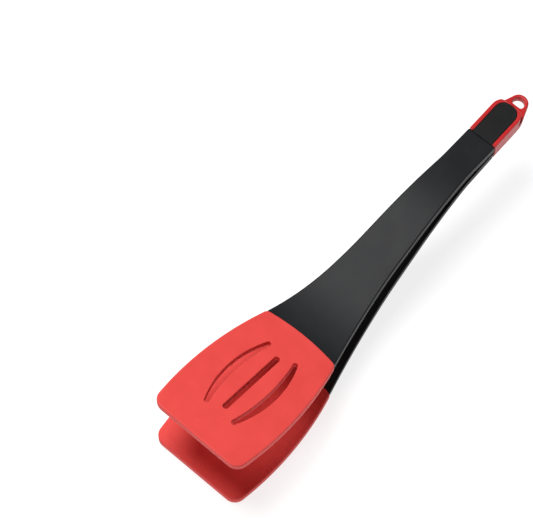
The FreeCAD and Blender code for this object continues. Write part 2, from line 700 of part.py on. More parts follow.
def trimmed_band(outline, start):
    """The outline with everything behind a station removed, as closed sketch geometry."""
    wire = Part.Wire(Part.__sortEdges__([edge.toShape() for edge in outline]))
    face = Part.Face(wire)
    keep = Part.makePlane(2 * FAR, 2 * FAR, V(start, -FAR, 0))
    part = face.common(keep).Faces[0]
    return [edge_geometry(edge) for edge in part.OuterWire.Edges]


def edge_geometry(edge):
    """Sketch geometry equal to a straight or circular edge."""
    first, last = edge.FirstParameter, edge.LastParameter
    p, q = edge.valueAt(first), edge.valueAt(last)
    if isinstance(edge.Curve, Part.Circle):
        return Part.Arc(p, edge.valueAt((first + last) / 2), q)
    return Part.LineSegment(p, q)


def add_knuckles(body, name, side):
    """The two knuckles and their necks; the upper arm's run inside the lower arm's."""
    if side > 0:
        start, width = size("lug_start"), "Sizes.lug_width"
    else:
        start = LOWER_LUG_START
        width = ("Sizes.cap_width / 2 - Sizes.cheek_wall - 2 * Sizes.side_play - Sizes.lug_start"
                 " - Sizes.lug_width - 2 * Sizes.side_play - Sizes.washer_thickness")
    for hand, word in ((1, "left"), (-1, "right")):
        offset = -hand * start
        neck = new_sketch(body, "XZ_Plane", "%s_%s_neck" % (name, word), neck_outline(side), offset)
        pad(body, neck, "%s_%s_neck_pad" % (name, word), width, reversed_=hand > 0)
        disc = circle_sketch(body, "XZ_Plane", "%s_%s_disc" % (name, word), [(0, 0)], LUG_EXPRESSION, offset)
        pad(body, disc, "%s_%s_knuckle" % (name, word), width, reversed_=hand > 0)
    bore = circle_sketch(body, "XZ_Plane", name + "_bore", [(0, 0)], "Sizes.pin_radius + Sizes.pin_play")
    pocket(body, bore, name + "_bore_cut", "Sizes.cap_width", symmetric=True)


def make_liner(name, side):
    """The inner cover of one arm."""
    body = new_body(name)
    outline = trimmed_band(band_between(side, HALF_GAP, LINER_LEVEL), size("liner_start"))
    pad(body, new_sketch(body, "XZ_Plane", name + "_side", outline), name + "_block",
        "Sizes.head_width * 1.5", symmetric=True)
    around = new_sketch(body, "XY_Plane", name + "_outside", outside(arm_plan(head_rear(side))))
    pocket(body, around, name + "_trim", "Sizes.head_width * 6", symmetric=True)
    return body


def make_core(name, side, slotted):
    """The steel core: a narrow tang in the arm and a wide blade in the head."""
    body = new_body(name)
    start = size("liner_start") + size("core_lead")
    outline = trimmed_band(band_between(side, LINER_LEVEL, CORE_LEVEL, tip_trim=size("blade_inset")), start)
    pad(body, new_sketch(body, "XZ_Plane", name + "_side", outline), name + "_sheet",
        "Sizes.blade_width", symmetric=True)
    blade_start = head_rear(side) + size("blade_lead")
    for sign, word in ((1, "left"), (-1, "right")):
        half_tang = sign * size("tang_width") / 2
        beside = polygon([(-FAR, half_tang), (blade_start, half_tang), (blade_start, sign * FAR),
                          (-FAR, sign * FAR)])
        pocket(body, new_sketch(body, "XY_Plane", "%s_%s_side" % (name, word), beside),
               "%s_%s_trim" % (name, word), "Sizes.head_width * 6", symmetric=True)
    if slotted:
        cut_slots(body, name)
    return body


def cut_slots(body, name):
    """The straight slot and the two curved ones."""
    for word, outline in (("middle", slot_outline()), ("left", crescent_outline(1)),
                          ("right", crescent_outline(-1))):
        pocket(body, new_sketch(body, "XY_Plane", "%s_%s_slot" % (name, word), outline),
               "%s_%s_slot_cut" % (name, word), "Sizes.head_width * 6", symmetric=True)


def make_head(name, side, slotted):
    """The silicone head moulded round the core's blade."""
    body = new_body(name)
    proud = size("head_proud")
    outline = trimmed_band(band_between(side, HALF_GAP, OUTER_LEVEL + proud),
                           head_rear(side) - size("head_bulge") - size("head_overlap"))
    pad(body, new_sketch(body, "XZ_Plane", name + "_side", outline), name + "_block",
        "Sizes.head_width * 1.5", symmetric=True)
    tip_x = surface_chain(side, OUTER_LEVEL).point[0] - size("head_overhang")
    around = new_sketch(body, "XY_Plane", name + "_outside", outside(head_plan(head_rear(side), tip_x)))
    pocket(body, around, name + "_trim", "Sizes.head_width * 6", symmetric=True)
    blade = trimmed_band(band_between(side, LINER_LEVEL, CORE_LEVEL, tip_trim=size("blade_inset")),
                         head_rear(side) + size("blade_lead"))
    pocket(body, new_sketch(body, "XZ_Plane", name + "_blade", blade), name + "_blade_cut",
           "Sizes.blade_width", symmetric=True)
    tang = trimmed_band(band_between(side, LINER_LEVEL, CORE_LEVEL, tip_trim=size("blade_run") / 2),
                        head_rear(side) - size("head_bulge") - size("head_overlap"))
    pocket(body, new_sketch(body, "XZ_Plane", name + "_tang", tang), name + "_tang_cut",
           "Sizes.tang_width", symmetric=True)
    if slotted:
        cut_slots(body, name)
    return body


# ---------------------------------------------------------------- assembly
parts = [
    make_end_frame(),
    make_cover("top_cover", 1),
    make_cover("bottom_cover", -1),
    make_cover_screws(),
    make_hinge_pin(),
    make_bush("left_bush", 1),
    make_bush("right_bush", -1),
    make_washer("left_washer", 1),
    make_washer("right_washer", -1),
    ring_body("spring_sleeve", "Sizes.pin_radius + Sizes.pin_play + Sizes.sleeve_wall",
              "Sizes.pin_radius + Sizes.pin_play", "Sizes.lug_start * 2 - 2 * Sizes.side_play"),
    make_spring(),
    make_arm("upper_arm", 1),
    make_liner("upper_liner", 1),
    make_core("upper_core", 1, True),
    make_head("upper_head", 1, True),
    make_arm("lower_arm", -1),
    make_liner("lower_liner", -1),
    make_core("lower_core", -1, False),
    make_head("lower_head", -1, False),
]
doc.recompute()

# the whole is pitched about the pin until the lower head lies flat, then stood on the ground
pitch = FreeCAD.Rotation(V(0, 1, 0), size("rise_angle") - size("drop_angle") - size("opening"))
turned_whole = Part.makeCompound([part.Shape for part in parts])
turned_whole.Placement = FreeCAD.Placement(V(0, 0, 0), pitch)
extent = turned_whole.optimalBoundingBox(False)
lift = V(-(extent.XMin + extent.XMax) / 2, 0, -extent.ZMin)
for part in parts:
    part.Placement = FreeCAD.Placement(lift, pitch)
doc.recompute()

for item in doc.Objects:
    if "Invalid" in item.State or "Error" in item.State:
        raise ValueError("%s did not recompute: %s" % (item.Label, item.State))
for part in parts:
    if part.Shape.isNull() or not part.Shape.isValid():
        raise ValueError("%s has no valid shape" % part.Label)

os.makedirs("parts", exist_ok=True)
for part in parts:
    part.Shape.exportStep("parts/%s.step" % part.Label)
    print("%-16s solids %d volume %.1f" % (part.Label, len(part.Shape.Solids), part.Shape.Volume))
print("pin axis at x %.3f z %.3f" % (lift.x, lift.z))
print("extent %.1f x %.1f x %.1f" % (extent.XLength, extent.YLength, extent.ZLength))
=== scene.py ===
import math

import bmesh
import bpy
from mathutils import Matrix, Vector
from mathutils.geometry import delaunay_2d_cdt


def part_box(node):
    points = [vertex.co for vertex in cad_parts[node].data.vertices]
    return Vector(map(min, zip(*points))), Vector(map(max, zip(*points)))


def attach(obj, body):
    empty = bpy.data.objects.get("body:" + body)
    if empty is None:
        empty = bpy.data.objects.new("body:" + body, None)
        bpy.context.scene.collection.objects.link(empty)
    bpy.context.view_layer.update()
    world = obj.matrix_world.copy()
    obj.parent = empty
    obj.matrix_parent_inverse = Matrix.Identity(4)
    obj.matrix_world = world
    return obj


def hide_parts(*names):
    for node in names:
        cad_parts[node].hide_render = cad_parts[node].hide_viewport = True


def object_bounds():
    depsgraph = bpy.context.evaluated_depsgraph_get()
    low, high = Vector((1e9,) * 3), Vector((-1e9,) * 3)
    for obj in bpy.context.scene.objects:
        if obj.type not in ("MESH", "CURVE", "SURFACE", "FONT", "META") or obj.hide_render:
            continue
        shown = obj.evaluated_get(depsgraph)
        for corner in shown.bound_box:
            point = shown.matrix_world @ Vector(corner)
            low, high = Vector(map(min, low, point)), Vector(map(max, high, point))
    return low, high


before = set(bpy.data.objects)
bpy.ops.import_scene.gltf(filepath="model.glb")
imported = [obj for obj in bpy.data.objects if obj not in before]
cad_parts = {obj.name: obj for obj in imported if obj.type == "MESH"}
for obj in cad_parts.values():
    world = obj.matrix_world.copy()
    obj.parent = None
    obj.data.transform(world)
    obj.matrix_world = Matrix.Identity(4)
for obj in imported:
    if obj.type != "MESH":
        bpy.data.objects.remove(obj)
cad_box = [list(corner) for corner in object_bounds()]

# ------------------------------------------------------------ sizes in mm, the same values as the CAD
CAP_HEIGHT, CAP_WIDTH, CHEEK = 16.2, 22.8, 2.9
MOUTH, CAP_REACH, CAP_CORNER, RIM, SCOOP = 6.0, 27.2, 7.8, 2.8, 1.3
SLOPE_LEAD, SLOPE_BULGE = 1.5, 0.9
LOOP_REACH, LOOP_HEIGHT, LOOP_LEVEL, LOOP_END = 42.9, 6.4, 4.0, 6.8
LOOP_FLANK, LOOP_WALL, HOLE_RADIUS, HOLE_FLAT = 20.0, 3.0, 4.4, 2.2
COVER_THICK, COVER_SINK, COVER_GAP = 2.3, 0.25, 0.2
MOUTH_GAP, OPENING, CLOSED_GAP = 0.35, 5.6, 0.6
ARM, LINER, PROUD, SEAT_START = 6.7, 2.2, 0.35, 29.0
STRAIGHT, DROP_BEND, DROP_ANGLE, DROP_RUN = 38.0, 50.0, 18.2, 47.5
RISE_BEND, RISE_ANGLE, BLADE_RUN = 67.0, 29.5, 103.7
FLARE_START, FLARE_ANGLE, FLARE_BEND, FLARE_ROUND = 36.0, 3.4, 112.0, 150.0
HEAD_START, SETBACK, HEAD_START_WIDTH, HEAD_WIDTH, HEAD_WIDEST = 196.4, 3.0, 59.2, 77.6, 263.2
HEAD_BULGE, TIP_CORNER = 2.8, 8.5
SLOT_MIDDLE, SLOT_WIDTH, SLOT_LENGTH = 246.6, 4.0, 55.0
CRESCENT_LENGTH, CRESCENT_OFFSET, CRESCENT_BOW = 65.0, 16.75, 5.0
CRESCENT_WIDTH, CRESCENT_END = 6.1, 3.4
SCREW_BACK, SCREW_SIDE, SCREW_BORE = 18.5, 4.2, 2.4

# looks only: radii of the rims, and the fine field on the heads' inner faces
HEAD_RIM, SLOT_RIM, CAP_RIM, HOLE_RIM, COVER_RIM = 1.3, 0.8, 0.75, 1.3, 0.3
ARM_RIM, SEAM_RIM, MOUTH_RIM, LINER_RIM, LINER_SEAM_RIM = 1.1, 0.35, 0.5, 0.5, 0.3
FIELD_INSET, FIELD_HEIGHT = 3.2, 0.12
ARC_STEPS, PAST_TIP = 24, 4.0   # points on each run of a profile, and how far it runs on past the tip
TIP_BACK = 0.6   # the heads' square tips stay this far behind the arms' outer tips

HALF_CAP, HALF_WIDTH, HALF_GAP = CAP_HEIGHT / 2, CAP_WIDTH / 2, CLOSED_GAP / 2
INNER_HALF = HALF_WIDTH - CHEEK
OUTER = HALF_GAP + ARM
ROOT_EXTRA = HALF_CAP - OUTER
LOOP_TOP, LOOP_LOW = LOOP_HEIGHT / 2 - LOOP_LEVEL, -LOOP_HEIGHT / 2 - LOOP_LEVEL
OPEN = math.radians(OPENING)
TILT = math.radians(RISE_ANGLE - DROP_ANGLE - OPENING)
pin_low, pin_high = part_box("hinge_pin")
PIN = (pin_low + pin_high) * 500.0


def to_row(x, y, z):
    """Hinge frame in mm to the row frame in metres."""
    c, s = math.cos(TILT), math.sin(TILT)
    return Vector((PIN.x + x * c + z * s, y, PIN.z - x * s + z * c)) * 0.001


# ------------------------------------------------------------ the arms' side profile
def chain(side, level, extra=0.0):
    """Points (x, z) of one surface of an arm, from the pin to the tip."""
    taper = extra / (STRAIGHT + DROP_BEND / 2)
    drop, rise = math.radians(DROP_ANGLE), math.radians(RISE_ANGLE)
    offset = side * level
    height = side * (level + extra)
    x, z = -height * math.sin(side * OPEN), height * math.cos(side * OPEN)
    heading = side * OPEN - side * taper
    points = [(x, z)]
    for length, turn in ((MOUTH + STRAIGHT, 0.0), (DROP_BEND + offset * drop, side * taper - drop),
                         (DROP_RUN, 0.0), (RISE_BEND - offset * rise, rise), (BLADE_RUN + PAST_TIP, 0.0)):
        for i in range(1, ARC_STEPS + 1):
            if turn:
                a, radius = heading + turn * i / ARC_STEPS, length / turn
                points.append((x + radius * (math.sin(a) - math.sin(heading)),
                               z - radius * (math.cos(a) - math.cos(heading))))
            else:
                points.append((x + length * i / ARC_STEPS * math.cos(heading),
                               z + length * i / ARC_STEPS * math.sin(heading)))
        x, z = points[-1]
        heading += turn
    return points


def height_of(points):
    """The chain as a height over x."""
    def height(x):
        for (x0, z0), (x1, z1) in zip(points, points[1:]):
            if x <= x1:
                return z0 + (z1 - z0) * (x - x0) / (x1 - x0)
        return points[-1][1]
    return height


SURFACE, TIP = {}, {}
for side in (1, -1):
    SURFACE[side, "outer"] = height_of(chain(side, OUTER, ROOT_EXTRA))
    SURFACE[side, "head"] = height_of(chain(side, OUTER + PROUD))
    SURFACE[side, "inner"] = height_of(chain(side, HALF_GAP))
    SURFACE[side, "liner"] = height_of(chain(side, HALF_GAP + LINER))
    blade_angle = math.radians(RISE_ANGLE - DROP_ANGLE) + side * OPEN
    TIP[side] = chain(side, OUTER)[-1][0] - TIP_BACK - PAST_TIP * math.cos(blade_angle)


# ------------------------------------------------------------ outlines seen from above
def arc3(p, m, q, steps):
    """Points on the circle through p, m and q, from p to q."""
    ax, ay, bx, by, cx, cy = p[0], p[1], m[0], m[1], q[0], q[1]
    d = 2 * (ax * (by - cy) + bx * (cy - ay) + cx * (ay - by))
    if abs(d) < 1e-9:
        return [(ax + (cx - ax) * i / steps, ay + (cy - ay) * i / steps) for i in range(steps + 1)]
    a2, b2, c2 = ax * ax + ay * ay, bx * bx + by * by, cx * cx + cy * cy
    ux = (a2 * (by - cy) + b2 * (cy - ay) + c2 * (ay - by)) / d
    uy = (a2 * (cx - bx) + b2 * (ax - cx) + c2 * (bx - ax)) / d
    radius = math.hypot(ax - ux, ay - uy)
    start, middle, end = (math.atan2(v[1] - uy, v[0] - ux) for v in (p, m, q))
    turn = (end - start) % (2 * math.pi)
    if (middle - start) % (2 * math.pi) > turn:
        turn -= 2 * math.pi
    angles = [start + turn * i / steps for i in range(steps + 1)]
    return [(ux + radius * math.cos(a), uy + radius * math.sin(a)) for a in angles]


def joined(*runs):
    """One closed loop from runs of points, without doubled points."""
    loop = []
    for run in runs:
        for point in run:
            if not loop or math.dist(point, loop[-1]) > 1e-6:
                loop.append(point)
    if math.dist(loop[0], loop[-1]) < 1e-6:
        loop.pop()
    return loop


def straight(p, q, pitch=2.0):
    """Points on the line from p to q, about this far apart."""
    steps = max(1, int(math.dist(p, q) / pitch))
    return [(p[0] + (q[0] - p[0]) * i / steps, p[1] + (q[1] - p[1]) * i / steps) for i in range(steps + 1)]


def softened(loop, corner, reach, steps=8):
    """The loop with one corner rounded off over this reach on both sides."""
    n = len(loop)
    at = min(range(n), key=lambda i: math.dist(loop[i], corner))
    peak = loop[at]

    def walk(step):
        travelled, i = 0.0, at
        while True:
            j = (i + step) % n
            length = math.dist(loop[i], loop[j])
            if travelled + length >= reach:
                t = (reach - travelled) / length
                return j, tuple(a + (b - a) * t for a, b in zip(loop[i], loop[j]))
            travelled += length
            i = j
    before, p = walk(-1)
    after, q = walk(1)
    curve = []
    for i in range(steps + 1):
        t = i / steps
        curve.append(tuple((1 - t) ** 2 * p[k] + 2 * t * (1 - t) * peak[k] + t * t * q[k] for k in (0, 1)))
    kept, i = [], after
    while True:
        kept.append(loop[i])
        if i == before:
            break
        i = (i + 1) % n
    return kept + curve


def area(loop):
    """Area inside a loop, positive if it runs anticlockwise."""
    return sum(p[0] * q[1] - q[0] * p[1] for p, q in zip(loop, loop[1:] + loop[:1])) / 2


def turned_ccw(loop, ccw=True):
    """The loop, run the way that is asked for."""
    return loop if (area(loop) > 0) == ccw else loop[::-1]


def inset(loop, amounts):
    """Each point of the loop moved to its left by its amount: inwards if it runs anticlockwise."""
    moved = []
    n = len(loop)
    for i in range(n):
        a, b, c = loop[i - 1], loop[i], loop[(i + 1) % n]
        u = Vector((b[0] - a[0], b[1] - a[1])).normalized()
        v = Vector((c[0] - b[0], c[1] - b[1])).normalized()
        normal = Vector((-u.y - v.y, u.x + v.x))
        normal.normalize()
        share = max(0.5, normal.x * -u.y + normal.y * u.x)
        moved.append((b[0] + normal.x * amounts[i] / share, b[1] + normal.y * amounts[i] / share))
    return moved


def side_radius():
    """Radius of the heads' bowed sides."""
    run, gain = HEAD_WIDEST - HEAD_START, (HEAD_WIDTH - HEAD_START_WIDTH) / 2
    return (run * run + gain * gain) / (2 * gain)


def side_half(x, grow=0.0):
    """Half the width of a head at x, with the silicone's overhang as grow."""
    radius, run = side_radius(), x - HEAD_WIDEST
    return HEAD_WIDTH / 2 + grow - (radius - math.sqrt(radius * radius - run * run))


def head_rear(side):
    """Where a head's rear corners are: the lower head starts a little further out."""
    return HEAD_START + (SETBACK if side < 0 else 0.0)


def head_loop(side):
    """Outline of a head."""
    start, tip = head_rear(side), TIP[side]
    half = side_half(start, PROUD)
    radius, corner = side_radius(), TIP_CORNER
    centre_y = HEAD_WIDTH / 2 + PROUD - radius
    run = tip - corner - HEAD_WIDEST
    rise = math.sqrt((radius - corner) ** 2 - run * run)
    corner_y = centre_y + rise
    touch = (HEAD_WIDEST + run * radius / (radius - corner), centre_y + rise * radius / (radius - corner))
    turn = math.atan2(rise, run) / 2
    middle = (start + touch[0]) / 2
    knee = (tip - corner + corner * math.cos(turn), corner_y + corner * math.sin(turn))
    loop = joined(arc3((start, half), (start - HEAD_BULGE, 0), (start, -half), 40),
                  arc3((start, -half), (middle, -side_half(middle, PROUD)), (touch[0], -touch[1]), 60),
                  arc3((touch[0], -touch[1]), (knee[0], -knee[1]), (tip, -corner_y), 14),
                  straight((tip, -corner_y), (tip, corner_y), 3.0),
                  arc3((tip, corner_y), knee, touch, 14),
                  arc3(touch, (middle, side_half(middle, PROUD)), (start, half), 60))
    for sign in (-1, 1):
        loop = softened(loop, (start, sign * half), 2.6)
    return loop


def slot_loops():
    """The straight slot and the two curved ones."""
    half, reach = SLOT_WIDTH / 2, SLOT_LENGTH / 2 - SLOT_WIDTH / 2
    m = SLOT_MIDDLE
    loops = [joined(straight((m - reach, -half), (m + reach, -half)),
                    arc3((m + reach, -half), (m + reach + half, 0), (m + reach, half), 14),
                    straight((m + reach, half), (m - reach, half)),
                    arc3((m - reach, half), (m - reach - half, 0), (m - reach, -half), 14))]
    end, mid = CRESCENT_END / 2, CRESCENT_WIDTH / 2
    reach = CRESCENT_LENGTH / 2 - end
    end_y = CRESCENT_OFFSET - CRESCENT_BOW
    for s in (1, -1):
        near, far = s * (end_y - end), s * (end_y + end)
        loops.append(joined(
            arc3((m - reach, near), (m, s * (CRESCENT_OFFSET - mid)), (m + reach, near), 40),
            arc3((m + reach, near), (m + reach + end, s * end_y), (m + reach, far), 12),
            arc3((m + reach, far), (m, s * (CRESCENT_OFFSET + mid)), (m - reach, far), 40),
            arc3((m - reach, far), (m - reach - end, s * end_y), (m - reach, near), 12)))
    return loops


def recess_loop(half, rear, front, corner):
    """The covers' U shape, open towards the mouth."""
    d = corner * (1 - math.sqrt(0.5))
    return joined(straight((front, -half), (rear + corner, -half)),
                  arc3((rear + corner, -half), (rear + d, -half + d), (rear, -half + corner), 14),
                  straight((rear, -half + corner), (rear, half - corner), 1.0),
                  arc3((rear, half - corner), (rear + d, half - d), (rear + corner, half), 14),
                  straight((rear + corner, half), (front, half)))


def cap_loop():
    """Outline of the U-shaped cap."""
    rear, corner = -(CAP_REACH + RIM), CAP_CORNER + RIM
    loop = joined(recess_loop(HALF_WIDTH, rear, MOUTH, corner),
                  recess_loop(INNER_HALF, -CAP_REACH, MOUTH, CAP_CORNER)[::-1])
    for s in (1, -1):
        loop = softened(loop, (MOUTH, s * HALF_WIDTH), 0.7, 5)
        loop = softened(loop, (MOUTH, s * INNER_HALF), 0.5, 5)
    return loop


def loop_outlines():
    """The hanging loop, whose root lies inside the cap's walls, and its hole."""
    flank, centre = math.radians(LOOP_FLANK), LOOP_END - LOOP_REACH
    touch = (centre - LOOP_END * math.sin(flank), LOOP_END * math.cos(flank))
    side, sunk = HALF_WIDTH - 0.05, 0.9
    root, front = touch[0] + (side - touch[1]) / math.tan(flank), CAP_CORNER - CAP_REACH + 1.0
    outer = joined(straight((front, side), (root, side), 0.6), straight((root, side), touch, 0.6),
                   arc3(touch, (-LOOP_REACH, 0), (touch[0], -touch[1]), 36),
                   straight((touch[0], -touch[1]), (root, -side), 0.6),
                   straight((root, -side), (front, -side), 0.6),
                   recess_loop(INNER_HALF + sunk, -CAP_REACH - sunk, front, CAP_CORNER + sunk))
    for s in (1, -1):
        outer = softened(outer, (root, s * side), 2.4, 8)
    middle = LOOP_WALL + HOLE_RADIUS - LOOP_REACH
    half = math.sqrt(HOLE_RADIUS ** 2 - HOLE_FLAT ** 2)
    near = middle + HOLE_FLAT
    hole = joined(straight((near, -half), (near, half), 0.5),
                  arc3((near, half), (middle - HOLE_RADIUS, 0), (near, -half), 40))
    for s in (1, -1):
        hole = softened(hole, (near, s * half), 1.3, 6)
    return outer, hole


# ------------------------------------------------------------ solids from outlines
WALL = 50.0   # stands for half a wall's height while a plate is made


def surrounds(loop, x, y):
    """Whether the loop runs round the point."""
    crossed = False
    for (x0, y0), (x1, y1) in zip(loop, loop[1:] + loop[:1]):
        if (y0 > y) != (y1 > y) and x < x0 + (y - y0) / (y1 - y0) * (x1 - x0):
            crossed = not crossed
    return crossed


def filled(loops):
    """Triangles between the first loop and the others, as index triples over all their points."""
    points, edges = [Vector(p) for loop in loops for p in loop], []
    first = 0
    for loop in loops:
        edges += [(first + i, first + (i + 1) % len(loop)) for i in range(len(loop))]
        first += len(loop)
    places, _, faces, sources, _, _ = delaunay_2d_cdt(points, edges, [], 0, 1e-6)
    # where an inset loop crosses itself at a tight corner, the crossing stands for its nearest point
    known = [source[0] if source else min(range(len(points)), key=lambda i: (points[i] - place).length)
             for place, source in zip(places, sources)]
    triangles = set()
    for face in faces:
        x, y = (sum(places[i][k] for i in face) / 3 for k in (0, 1))
        corners = [known[i] for i in face]
        if len(set(corners)) == 3 and surrounds(loops[0], x, y):
            if not any(surrounds(hole, x, y) for hole in loops[1:]):
                triangles.add(tuple(sorted(corners)))
    return sorted(triangles)


def plate(name, outer, holes, top, bottom, rounding, cuts=(), rows=1, panel=None, bend=None,
          hole_round=None, flat=0.7):
    """A closed piece between two height functions, with rounded rims round its outline and holes.

    It is made in encoded heights first: +-WALL are the wall's ends, beyond them lie the rims. Then it
    is cut at the given stations and mapped on to the real surfaces. rounding is the rim's radius as a
    function of x; panel is (inset, height, sign) of a faint line inside the rim of one face; flat is
    the width of the level strip inside every rim.
    """
    bm = bmesh.new()
    edge = bm.verts.layers.float.new("edge")
    rim_radius = bm.verts.layers.float.new("rim")
    loops = [turned_ccw(outer, True)] + [turned_ccw(h, False) for h in holes]
    fills = {1: [], -1: []}
    for index, loop in enumerate(loops):
        radii = [hole_round if index and hole_round else rounding(x) for x, y in loop]
        rings = []
        for sign in (-1, 1):
            rim = []
            # the last value of each rim point paints that rim lighter, most at the middle of its rounding: a
            # painted highlight, partly wear
            for k in range(7):
                a = math.radians(90 * k / 6)
                rim.append((1 - math.cos(a), 0.0, sign * WALL, sign * math.sin(a), math.sin(2 * a)))
            high = sign * WALL
            # the panel line is raised a little and also painted lighter along it: a painted highlight, partly
            # wear
            if panel and index == 0 and sign == panel[2]:
                for reach, share, rim_wear_and_highlight in ((panel[0] - 0.7, 0.0, 0.0), (panel[0] - 0.2, 0.6, 0.5),
                                           (panel[0] + 0.1, 1.0, 1.0), (panel[0] + 0.6, 0.4, 0.3)):
                    rim.append((1.0, reach, high + sign * share * panel[1], sign, rim_wear_and_highlight))
            else:
                rim.append((1.0, flat, high, sign, 0.0))
            rings.append(rim)
        order = rings[0][::-1]
        for i in range(1, rows):
            order.append((0.0, 0.0, -WALL + 2 * WALL * i / rows, 0.0, 0.0))
        order += rings[1]
        built = []
        for share, extra, height, swell, rim_wear_and_highlight in order:
            line = inset(loop, [share * r + extra for r in radii]) if share + extra > 1e-6 else loop
            ring = []
            for (x, y), r in zip(line, radii):
                vertex = bm.verts.new((x, y, height + swell * r))
                vertex[edge] = rim_wear_and_highlight
                vertex[rim_radius] = r
                ring.append(vertex)
            built.append(ring)
        n = len(loop)
        for low, high in zip(built, built[1:]):
            for i in range(n):
                j = (i + 1) % n
                bm.faces.new((low[i], low[j], high[j], high[i]))
        fills[-1].append(built[0])
        fills[1].append(built[-1])
    for sign, rings in fills.items():
        pool = [v for ring in rings for v in ring]
        for a, b, c in filled([[(v.co.x, v.co.y) for v in ring] for ring in rings]):
            bm.faces.new((pool[a], pool[b], pool[c]))
    for x in cuts:
        bmesh.ops.bisect_plane(bm, geom=bm.verts[:] + bm.edges[:] + bm.faces[:], dist=1e-5,
                               plane_co=(x, 0, 0), plane_no=(1, 0, 0))
    for vertex in bm.verts:
        x, y, code = vertex.co
        r = vertex[rim_radius]
        high, low = top(x), bottom(x)
        share = (min(max(code, -WALL), WALL) + WALL) / (2 * WALL)
        z = low + r + share * (high - low - 2 * r)
        z += max(0.0, code - WALL) + min(0.0, code + WALL)
        if bend:
            x, y, z = bend(x, y, z)
        vertex.co = to_row(x, y, z)
    bmesh.ops.recalc_face_normals(bm, faces=bm.faces)
    return finished(name, bm)


def finished(name, bm):
    """An object with smooth, area-weighted shading."""
    mesh = bpy.data.meshes.new(name)
    bm.to_mesh(mesh)
    bm.free()
    for polygon in mesh.polygons:
        polygon.use_smooth = True
    piece = bpy.data.objects.new(name, mesh)
    bpy.context.scene.collection.objects.link(piece)
    weighted = piece.modifiers.new("shading", "WEIGHTED_NORMAL")
    weighted.weight = 80
    return piece


def loft(name, sections):
    """A closed piece through rings of equal length; each vertex is (x, y, z, edge)."""
    bm = bmesh.new()
    edge = bm.verts.layers.float.new("edge")
    rings = []
    for section in sections:
        ring = []
        for x, y, z, rim_wear_and_highlight in section:
            vertex = bm.verts.new(to_row(x, y, z))
            vertex[edge] = rim_wear_and_highlight
            ring.append(vertex)
        rings.append(ring)
    n = len(rings[0])
    for a, b in zip(rings, rings[1:]):
        for i in range(n):
            j = (i + 1) % n
            bm.faces.new((a[i], a[j], b[j], b[i]))
    bm.faces.new(rings[0])
    bm.faces.new(rings[-1][::-1])
    bmesh.ops.recalc_face_normals(bm, faces=bm.faces)
    return finished(name, bm)


# ------------------------------------------------------------ arms
def arm_half(x, start):
    """Half the width of an arm."""
    angle = math.radians(FLARE_ANGLE)
    y1 = HALF_WIDTH + (FLARE_BEND - FLARE_START) * math.tan(angle)
    x2, y2 = start, side_half(start)
    turn = 2 * (math.atan2(y2 - y1, x2 - FLARE_BEND) - angle)
    radius = math.hypot(x2 - FLARE_BEND, y2 - y1) / (2 * math.sin(turn / 2))
    reach = FLARE_ROUND * math.tan(angle / 2)
    if x <= FLARE_START - reach:
        return HALF_WIDTH
    if x <= FLARE_START + reach:
        run = x - FLARE_START + reach
        return HALF_WIDTH + FLARE_ROUND - math.sqrt(FLARE_ROUND ** 2 - run * run)
    if x <= FLARE_BEND:
        return HALF_WIDTH + (x - FLARE_START) * math.tan(angle)
    run = min(x, start) - FLARE_BEND + radius * math.sin(angle)
    return y1 + radius * math.cos(angle) - math.sqrt(radius * radius - run * run)


def band_section(x, half, low, high, low_round, high_round, shift=None, across=12):
    """A rounded rectangle across an arm between two heights, as (x, y, z, edge)."""
    side = 1 if high > low else -1
    points = []

    def corner(sign, height, radius, direction, first):
        for k in range(7):
            a = math.radians(90 * (k if first else 6 - k) / 6)
            y = sign * (half - radius * (1 - math.cos(a)))
            z = height - direction * radius * (1 - math.sin(a))
            # the fourth value paints the rounded corner lighter, most at its middle: a painted highlight,
            # partly wear
            points.append((x, y, z, math.sin(2 * a)))
    corner(1, high, high_round, side, True)
    for i in range(1, across):
        points.append((x, (half - high_round) * (1 - 2 * i / across), high, 0.0))
    corner(-1, high, high_round, side, False)
    corner(-1, low, low_round, -side, True)
    for i in range(1, across):
        points.append((x, -(half - low_round) * (1 - 2 * i / across), low, 0.0))
    corner(1, low, low_round, -side, False)
    if shift:
        points = [shift(*p) for p in points]
    return points


def mouth_shift(fade_from, fade_to):
    """Bends the rear face of an arm to follow the cap's hollow cheeks."""
    def shift(x, y, z, rim_wear_and_highlight):
        share = min(1.0, max(0.0, (fade_to - x) / (fade_to - fade_from)))
        hollow = SCOOP * (1 - (z / HALF_CAP) ** 2)
        return x - share * max(0.0, hollow), y, z, rim_wear_and_highlight
    return shift


def stations(start, end):
    """Places along an arm, closer together at both ends."""
    count = int((end - start) / 2.4)
    inner = [start + 0.9 + (end - start - 1.8) * i / count for i in range(count + 1)]
    return [start, start + 0.12, start + 0.4] + inner + [end]


